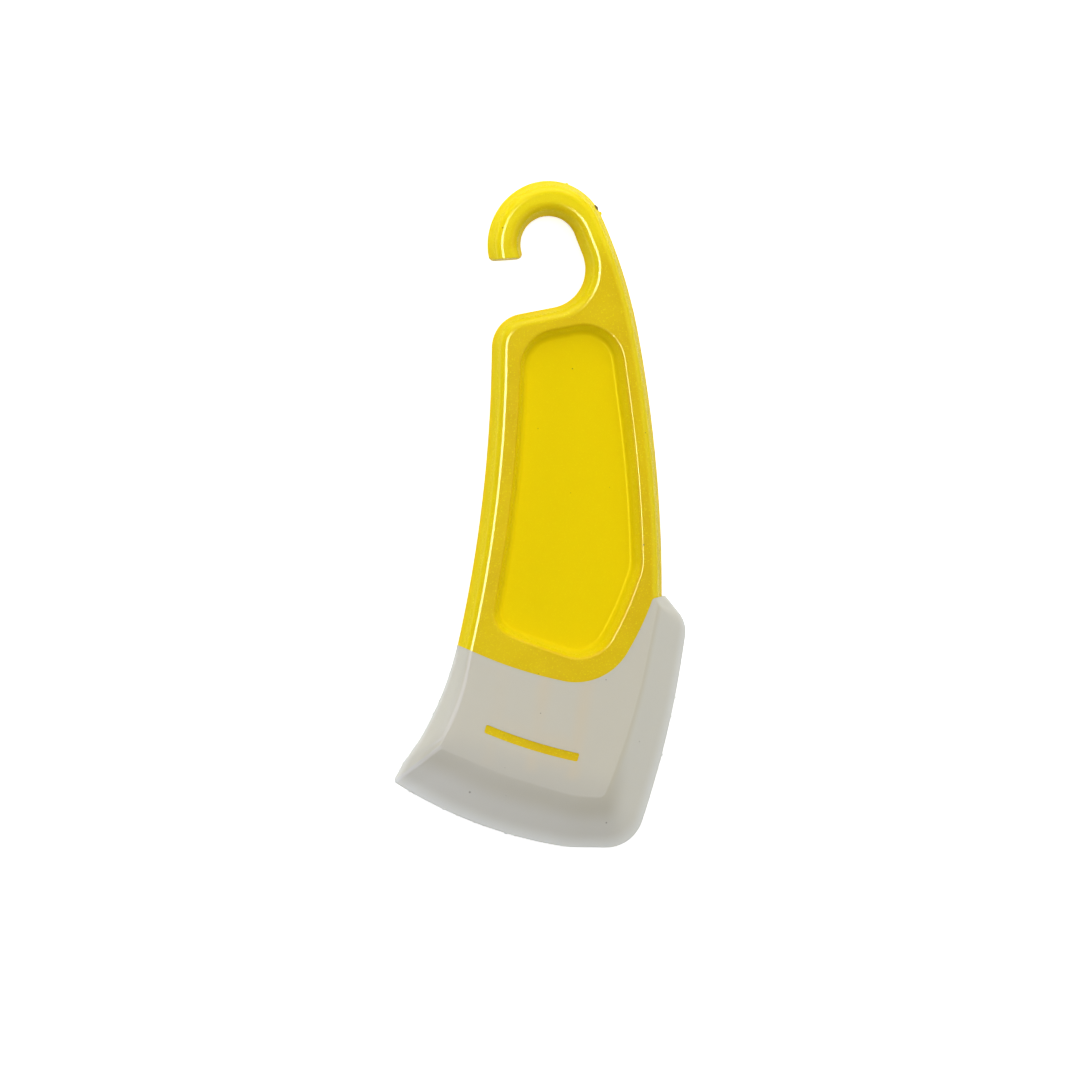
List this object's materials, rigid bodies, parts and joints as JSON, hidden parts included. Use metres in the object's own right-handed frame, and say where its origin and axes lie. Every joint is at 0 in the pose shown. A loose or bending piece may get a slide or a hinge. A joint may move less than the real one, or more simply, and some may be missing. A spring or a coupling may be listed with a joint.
{
  "type": "pan scraper",
  "caption": "Flat hand scraper: a rimmed plastic handle with an open hanging hook, and a soft pointed blade moulded round its ribbed and windowed tongue.",
  "frame": {"origin": "under the middle of the outline, on the face it rests on", "axes": "+Y from the blade towards the hook, +Z through the thickness, +X towards the long curved back of the handle"},
  "size_m": [0.068, 0.1534, 0.007],
  "materials": {
    "handle_plastic": "glossy moulded rim and satin pocket floor",
    "blade_silicone": "satin, slightly translucent off-white silicone"
  },
  "bodies": {
    "root": {"handle": "handle_plastic", "blade": "blade_silicone"}
  },
  "joints": []
}
